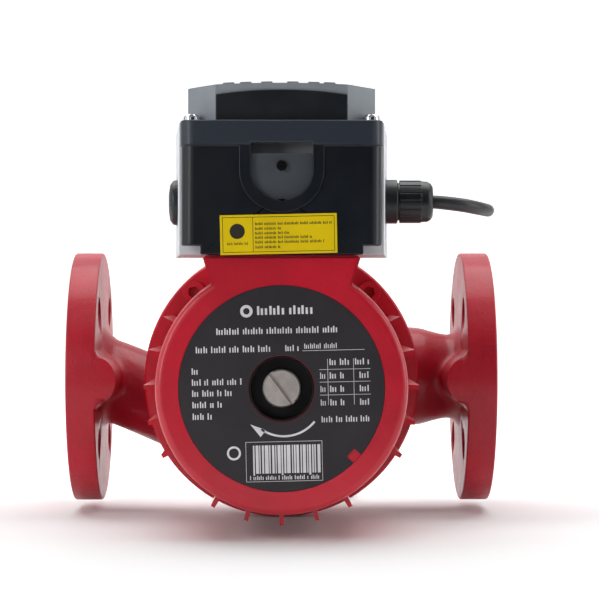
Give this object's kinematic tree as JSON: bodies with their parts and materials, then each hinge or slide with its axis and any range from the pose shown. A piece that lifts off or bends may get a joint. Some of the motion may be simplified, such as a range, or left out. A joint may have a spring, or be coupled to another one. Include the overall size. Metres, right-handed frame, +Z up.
{
  "type": "circulator pump",
  "caption": "Flanged in-line wet-rotor circulator pump with a finned motor and a terminal box with a supply cable.",
  "frame": {"origin": "middle of the pump's box at its lowest point: below the crossing of the pipe axis and the motor axis by 80 mm and in front of it by 61 mm", "axes": "+X along the pipe axis towards the suction flange, +Y along the motor axis away from the motor's front, +Z up towards the lid"},
  "size_m": [0.25, 0.3492, 0.2416],
  "materials": {
    "housing_red": "red enamel over sand-cast iron, fine orange peel",
    "motor_red": "red enamel over die casting, fine orange peel",
    "bolt_black": "black oxide",
    "label_dark": "satin dark grey foil",
    "well_black": "matte black",
    "plug_steel": "turned, satin",
    "box_grey": "fine moulded texture",
    "cover_black": "fine moulded texture, semi-gloss",
    "bezel_black": "gloss black",
    "plate_grey": "matte",
    "label_yellow": "printed foil",
    "lid_grey": "fine moulded texture, semi-gloss",
    "panel_dark": "satin",
    "screw_chrome": "bright zinc",
    "gland_black": "moulded polyamide",
    "cable_black": "matt rubber sheath",
    "seal_black": "moulded rubber",
    "steel": "machined",
    "carbon": "ground carbon",
    "can_steel": "drawn stainless steel",
    "laminations": "stacked laminations",
    "copper": "varnished copper wire",
    "impeller_grey": "glass-filled moulding",
    "bronze": "turned bronze",
    "brass": "turned brass",
    "ivory": "moulded",
    "switch_dark": "moulded",
    "knob_red": "moulded",
    "lead_brown": "insulated wire",
    "core_grey": "insulated cores with ferrules",
    "tie_grey": "woven strap"
  },
  "bodies": {
    "pump": {"pump_housing": "housing_red", "neck_ring": "bronze", "housing_gasket": "seal_black", "motor_housing": "motor_red", "motor_bolts": "bolt_black", "bearing_plate": "steel", "inner_bearing": "carbon", "outer_bearing": "carbon", "rotor_can": "can_steel", "can_seal_ring": "seal_black", "stator_core": "laminations", "stator_windings": "copper", "nameplate": "label_dark", "vent_bush": "well_black", "base_gasket": "seal_black", "terminal_box": "box_grey", "box_screws": "screw_chrome", "front_cover": "cover_black", "window_bezel": "bezel_black", "window_plate": "plate_grey", "window_screw": "plug_steel", "yellow_label": "label_yellow", "lid_gasket": "seal_black", "terminal_block": "ivory", "terminal_screws": "brass", "earth_screw": "brass", "speed_switch": "switch_dark", "motor_leads": "lead_brown", "blanking_plug": "gland_black", "blanking_plug_nut": "gland_black", "gland_body": "gland_black", "gland_locknut": "gland_black", "gland_seal": "seal_black", "gland_nut": "gland_black", "supply_cores": "lead_brown", "supply_cable": "cable_black", "cable_coil": "cable_black", "coil_tie": "tie_grey", "core_ends": "core_grey"},
    "rotor": {"impeller": "impeller_grey", "impeller_nut": "steel", "shaft": "steel", "rotor_core": "laminations", "rotor_sleeve": "can_steel", "thrust_ring": "carbon"},
    "vent_seal": {"vent_seal_ring": "seal_black"},
    "vent": {"vent_plug": "plug_steel"},
    "lid": {"lid": "lid_grey", "lid_panel": "panel_dark", "lid_screws": "screw_chrome"},
    "knob": {"speed_knob": "knob_red"}
  },
  "joints": [
    {"name": "rotor_spin", "type": "hinge", "parent": "pump", "child": "rotor", "pos_m": [0, -0.049, 0.08], "axis": [0, 1, 0], "continuous": true},
    {"name": "vent_travel", "type": "slide", "parent": "pump", "child": "vent_seal", "axis": [0, -1, 0], "range_m": [0, 0.008]},
    {"name": "vent_turn", "type": "hinge", "parent": "vent_seal", "child": "vent", "pos_m": [0, -0.125, 0.08], "axis": [0, -1, 0], "range_deg": [0, 1920]},
    {"name": "lid_lift", "type": "slide", "parent": "pump", "child": "lid", "axis": [0, 0, 1], "range_m": [0, 0.06]},
    {"name": "speed_turn", "type": "hinge", "parent": "pump", "child": "knob", "pos_m": [0, -0.04, 0.175], "axis": [0, 0, 1], "range_deg": [-60, 60]}
  ],
  "couplings": [
    {"joint": "vent_turn", "follows": "vent_travel", "rad_per_m": 4188.8}
  ]
}
